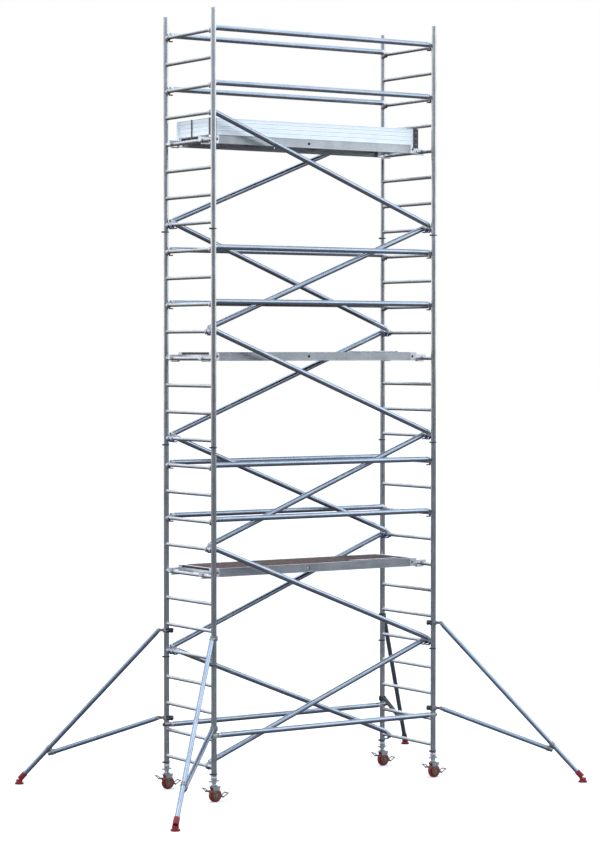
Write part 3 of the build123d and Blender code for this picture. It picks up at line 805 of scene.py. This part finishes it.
THREAD = dict(crest=19 * MM, root=17.2 * MM, pitch=8 * MM, bore=14.5 * MM)
NUT_BORE = 19.1
BARREL = 32             # height of the nut's plain lower barrel
WING = in_mm((21, -6), (34, -6), (48, -5), (53, -2.5), (54, 0), (53, 2.5), (48, 5), (34, 6), (21, 6))
stem_thread = None
for c in CORNERS:
    lo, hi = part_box(f"castor_stem_{c}")
    x, y = (lo.x + hi.x) / 2, (lo.y + hi.y) / 2
    flange_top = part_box(f"leg_nut_{c}")[0].z - 12.7 * MM
    if stem_thread is None:
        stem_thread = threaded(hi.z - flange_top, **THREAD)
    leg = Shape().put(stem_thread, moved(x, y, flange_top))
    flange = in_mm((8.2, 0), (24.5, 0), (26, 1.2), (26, 4.4), (24, 6), (20.5, 6), (19, 9), (8.2, 9))
    leg.put(turned(flange, 40), moved(x, y, flange_top - 6 * MM))
    leg.put(knob(13 * MM, 9.4 * MM, 24), moved(x, y, lo.z))
    bolt = flange_top - lo.z - 3 * MM
    leg.put(turned([(2 * MM, 0), (8 * MM, 0), (8 * MM, bolt), (2 * MM, bolt)], 24),
            moved(x, y, lo.z + 1 * MM))
    make(f"leg_screw_{c}", leg, f"leg_{c}", FINISH["zinc"],
         replaces=(f"castor_stem_{c}",), sharp=40)

    lo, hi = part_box(f"leg_nut_{c}")
    nut, tall = Shape(), (hi.z - lo.z) / MM
    barrel = in_mm((NUT_BORE, 0.5), (NUT_BORE + 0.8, 0), (22.5, 0), (24, 1.5), (24, BARREL),
                   (NUT_BORE, BARREL))
    crown = in_mm((NUT_BORE, BARREL - 0.5), (25.5, BARREL - 0.5), (27.5, BARREL + 2), (27.5, tall - 2),
                  (26, tall), (NUT_BORE + 0.8, tall), (NUT_BORE, tall - 0.6))
    bore_rows = (0, 5, 6)
    nut.put(turned(barrel, 48), moved(x, y, lo.z))
    nut.put(turned(crown, 96, wobble=lambda t, j: 1 if j in bore_rows else
                   1 - 0.075 * max(0.0, math.cos(12 * t)) ** 2), moved(x, y, lo.z))
    for turn in (0, math.pi):
        arm = plate(WING, 13 * MM, 1.8 * MM, 3)
        nut.put(arm, moved(x, y, lo.z + 19.5 * MM) @ Matrix.Rotation(turn, 4, "Z"))
    make(f"leg_nut_fine_{c}", nut, f"nut_{c}", FINISH["zinc"],
         replaces=(f"leg_nut_{c}",), sharp=38)

    # tyre, wheel and the fixings of the fork
    lo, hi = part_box(f"castor_tyre_{c}")
    mid, rad, wide = (lo + hi) / 2, (hi.z - lo.z) / 2, hi.y - lo.y
    across = basis((mid.x, lo.y, mid.z), (mid.x, hi.y, mid.z), up=(0, 0, 1))
    groove, inner = 1.6 * MM, 50 * MM
    tread = [(inner, 1 * MM), (rad - 7 * MM, 0), (rad - 2.5 * MM, 2 * MM), (rad, 6 * MM), (rad, 10.4 * MM),
             (rad - groove, 11 * MM), (rad - groove, 13 * MM), (rad, 13.6 * MM)]
    tread += [(r, wide - z) for r, z in tread[::-1]]
    make(f"castor_tread_{c}", Shape().put(turned(tread, 72), across),
         f"wheel_{c}", FINISH["tyre"], replaces=(f"castor_tyre_{c}",), sharp=40)
    lo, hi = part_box(f"castor_wheel_{c}")
    wheel, half = Shape(), (hi.y - lo.y) / 2 / MM
    centre = moved(mid.x, mid.y, mid.z) @ Matrix.Rotation(math.pi / 2, 4, "X")
    rim = in_mm((41.5, -16), (49, -16), (50, -15), (50, 15), (49, 16), (41.5, 16), (40, 14), (39.5, 0),
                (40, -14))
    wheel.put(turned(rim, 64), centre)
    wheel.put(turned(in_mm((14, -4), (41, -5), (41, 5), (14, 4)), 48), centre)
    hub = in_mm((6.1, -half), (15, -half), (17, -half + 2), (17, half - 2), (15, half), (6.1, half))
    wheel.put(turned(hub, 40), centre)
    for i in range(8):
        spoke = block((27 * MM, 4 * MM, 26 * MM), 1.2 * MM)
        wheel.put(spoke, centre @ Matrix.Rotation(i * math.pi / 4, 4, "Z") @ moved(28.5 * MM, 0, 0))
    make(f"castor_spoked_wheel_{c}", wheel, f"wheel_{c}", FINISH["wheel"],
         replaces=(f"castor_wheel_{c}",))

    fix, ears = Shape(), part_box(f"castor_fork_{c}")
    for s, face in ((-1, ears[0].y), (1, ears[1].y)):
        at = Vector((mid.x, face - s * 5 * MM, mid.z))
        fix.put(hexagon(17 * MM, 6.5 * MM), on_face(at, (0, s, 0), 2 * MM))
    ring = in_mm((20, -7), (30, -7), (31, -5.8), (31, -2.6), (29.5, -1), (20, -1))
    fix.put(turned(ring, 44), moved(x, y, ears[1].z))
    make(f"castor_fixings_{c}", fix, f"fork_{c}", FINISH["clamp"])


# ------------------------------------------------------------------ stabilisers
# distances from the axis of the upright
JAW_REACH = 34 * MM             # a coupler that comes nearer than this is round the upright
LINER_IN, LINER_OUT = 33 * MM, 34.6 * MM
KNOB_OUT, LUG_OUT = 35 * MM, 75 * MM
for c, (sx, sy) in CORNERS.items():
    tubes, caps = Shape(), Shape()
    for pts in solids_of(f"stab_tubes_{c}"):
        a, b, r = axis_of(pts)
        if a.z < b.z:
            a, b = b, a
        tubes.put(tube((b - a).length, r, TUBE_WALL, 44), basis(a, b))
        if b.z > 0.1:
            # the lower tube's end past the swivel coupler has a cap
            caps.put(knob(r - 0.3 * MM, 4 * MM, 32), basis(b - (b - a).normalized() * 1.5 * MM, b + (b - a)))
    make(f"stab_tubes_fine_{c}", tubes, f"stabiliser_{c}", FINISH["stab"],
         replaces=(f"stab_tubes_{c}",))
    if caps.v:
        make(f"stab_end_caps_{c}", caps, f"stabiliser_{c}", FINISH["black"])

    knobs, bolts = Shape(), Shape()
    lo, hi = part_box("frame_left_1" if sx < 0 else "frame_right_1")
    post = Vector(((lo.x + hi.x) / 2, lo.y + POST_R if sy < 0 else hi.y - POST_R, 0))
    out = Vector((sx, sy, 0)).normalized()
    flat = Vector((-out.y, out.x, 0))
    for pts in solids_of(f"stab_clamps_{c}"):
        lo, hi = box_of(pts)
        near = pts[np.hypot(pts[:, 0] - post.x, pts[:, 1] - post.y) < JAW_REACH]
        if len(near) == 0:
            continue    # the swivel coupler, which is not on the upright
        z = (near[:, 2].min() + near[:, 2].max()) / 2
        at = post + Vector((0, 0, z))
        lobes = lambda t, j: 1 - 0.10 * (0.5 + 0.5 * math.cos(6 * t))
        knobs.put(knob(24.5 * MM, 29 * MM, 48, 0.15, lobes), basis(at - out * KNOB_OUT, at - out))
        # a half-round liner on the side of the jaw away from the tube
        arc = [math.pi * (0.5 + i / 24) for i in range(25)]
        liner = [(LINER_OUT * math.cos(a), LINER_OUT * math.sin(a)) for a in arc]
        liner += [(LINER_IN * math.cos(a), LINER_IN * math.sin(a)) for a in arc[::-1]]
        knobs.put(plate(liner, 43 * MM, 0.5 * MM),
                  moved(at.x, at.y, z) @ Matrix.Rotation(math.atan2(sy, sx), 4, "Z"))
        for s in (-1, 1):
            for dz in (-12, 12):
                spot = at + flat * s * LINER_IN + Vector((0, 0, dz * MM))
                bolts.put(hexagon(9 * MM, 4 * MM), on_face(spot, flat * s, 0.8 * MM))
            lug = at + out * LUG_OUT + flat * s * 18 * MM
            bolts.put(hexagon(18 * MM, 7 * MM), on_face(lug, flat * s))
        bolts.put(turned(in_mm((33, -3), (35, -2), (35, 2), (33, 3)), 40), moved(at.x, at.y, z))
    make(f"stab_hand_knobs_{c}", knobs, f"stabiliser_{c}", FINISH["black"], sharp=50)
    make(f"stab_clamp_bolts_{c}", bolts, f"stabiliser_{c}", FINISH["zinc"])

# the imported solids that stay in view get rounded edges
SOFTENED = ("deck_hooks", "deck_frames", "windlocks", "toe_board_brackets", "rail_triggers",
            "diagonal_triggers", "brace_claws", "castor_fork", "brake_pedal", "stab_clamps", "stab_foot")
for name, packed in nodes.items():
    if name.startswith(SOFTENED):
        weld = packed.modifiers.new("weld", "WELD")
        weld.merge_threshold = 1e-5
        rims = packed.modifiers.new("rims", "BEVEL")
        rims.width, rims.segments, rims.use_clamp_overlap = 0.9 * MM, 2, True
        rims.limit_method, rims.angle_limit = "ANGLE", math.radians(40)


# ------------------------------------------------------------------ floor, light and camera
def stage_floor():
    """A wide floor: pale to the camera, darker in what the part reflects."""
    mesh = bpy.data.meshes.new("floor")
    w = 160.0
    mesh.from_pydata([(-w, -w, 0), (w, -w, 0), (w, w, 0), (-w, w, 0)], [], [(0, 1, 2, 3)])
    floor = bpy.data.objects.new("floor", mesh)
    bpy.context.scene.collection.objects.link(floor)
    m = bpy.data.materials.new("pale_floor")
    m.use_nodes = True
    t = m.node_tree
    t.nodes.clear()
    pale = node(t, "BsdfDiffuse", Color=(0.94, 0.92, 0.90, 1))
    soft = node(t, "BsdfDiffuse", Color=(0.20, 0.20, 0.205, 1))
    both = t.nodes.new("ShaderNodeMixShader")
    t.links.new(node(t, "LightPath").outputs["Is Camera Ray"], both.inputs[0])
    t.links.new(soft.outputs[0], both.inputs[1])
    glow = node(t, "Emission", Color=(1.0, 0.98, 0.96, 1), Strength=0.10)
    lifted = t.nodes.new("ShaderNodeAddShader")
    t.links.new(pale.outputs[0], lifted.inputs[0])
    t.links.new(glow.outputs[0], lifted.inputs[1])
    t.links.new(lifted.outputs[0], both.inputs[2])
    t.links.new(both.outputs[0], t.nodes.new("ShaderNodeOutputMaterial").inputs[0])
    floor.data.materials.append(m)


def lamp(name, at, aim, size, power, colour):
    """A rectangular area light at a place, aimed at a point."""
    data = bpy.data.lights.new(name, "AREA")
    data.shape, data.size, data.size_y = "RECTANGLE", size[0], size[1]
    data.energy, data.color = power, colour
    o = bpy.data.objects.new(name, data)
    bpy.context.scene.collection.objects.link(o)
    o.location = at
    o.rotation_euler = (Vector(aim) - Vector(at)).to_track_quat("-Z", "Y").to_euler()


stage_floor()
lamp("overhead", (0, 0, 16), (0, 0, 0), (14, 14), 500, (0.93, 0.97, 1.0))
lamp("right_wall", (9.5, -6, 8.6), (0, 0, 5.6), (12, 10), 430, (0.93, 0.97, 1.0))
lamp("left_high", (-9, -3, 15), (0, 0, 4), (5, 5), 420, (1.0, 0.99, 0.97))

# The sky is what the metal reflects: bright behind the part and dark on the camera's side, with a dimmer
# right half, a dark band below the horizon and a bright top. The camera itself sees plain white.
world = bpy.data.worlds.new("studio")
bpy.context.scene.world = world
world.use_nodes = True
t = world.node_tree
t.nodes.clear()
way = t.nodes.new("ShaderNodeTexCoord").outputs["Generated"]
x, y, z = node(t, "SeparateXYZ", Vector=way).outputs[:3]
to_right, to_camera = (0.83, -0.55), (-0.55, -0.83)
side = blend(t, x, to_right[0], y, to_right[1])
front = span(t, blend(t, x, to_camera[0], y, to_camera[1]), -1, 1)
left = ramp(t, front, (0.0, (1.0, 1.0, 1.0)), (0.40, (1.0, 1.0, 1.0)), (0.60, (0.66, 0.66, 0.67)),
            (0.78, (0.30, 0.305, 0.31)), (0.88, (0.075, 0.077, 0.08)), (1.0, (0.035, 0.036, 0.038)))
right = ramp(t, front, (0.0, (1.0, 1.0, 1.0)), (0.30, (0.39, 0.41, 0.43)), (0.60, (0.25, 0.265, 0.285)),
             (0.84, (0.14, 0.15, 0.165)), (0.95, (0.065, 0.067, 0.07)), (1.0, (0.035, 0.036, 0.038)))
level = mixed(t, span(t, side, -0.05, 0.05), left, right)
level = mixed(t, 1.0, level, (1.9, 1.92, 1.95), "MULTIPLY")
level = mixed(t, span(t, z, -0.015, -0.07), level, (0.09, 0.09, 0.092))
sky = ramp(t, span(t, z, -1, 1), (0.50, (0.0, 0.0, 0.0)), (0.545, (0.25, 0.25, 0.25)), (0.60, (1, 1, 1)))
seen = mixed(t, sky, level, (1.10, 1.22, 1.40))
white = mixed(t, node(t, "LightPath").outputs["Is Camera Ray"], seen, (1.0, 1.0, 1.0))
background = node(t, "Background", Color=white, Strength=1.0)
t.links.new(background.outputs[0], t.nodes.new("ShaderNodeOutputWorld").inputs[0])

# the camera's place, aim and lens come from a fit to the rungs that can be seen
camera = bpy.data.objects.new("camera", bpy.data.cameras.new("camera"))
bpy.context.scene.collection.objects.link(camera)
camera.data.sensor_fit, camera.data.sensor_width, camera.data.lens = "HORIZONTAL", 36.0, 155.24
camera.data.clip_start, camera.data.clip_end = 0.1, 400.0
yaw, pitch = math.radians(33.629), math.radians(-1.636)
camera.location = (-13.691, -20.555, 4.154)
ahead = Vector((math.sin(yaw) * math.cos(pitch), math.cos(yaw) * math.cos(pitch), math.sin(pitch)))
camera.rotation_euler = ahead.to_track_quat("-Z", "Y").to_euler()
bpy.context.scene.camera = camera
bpy.context.scene.view_settings.view_transform = "Standard"
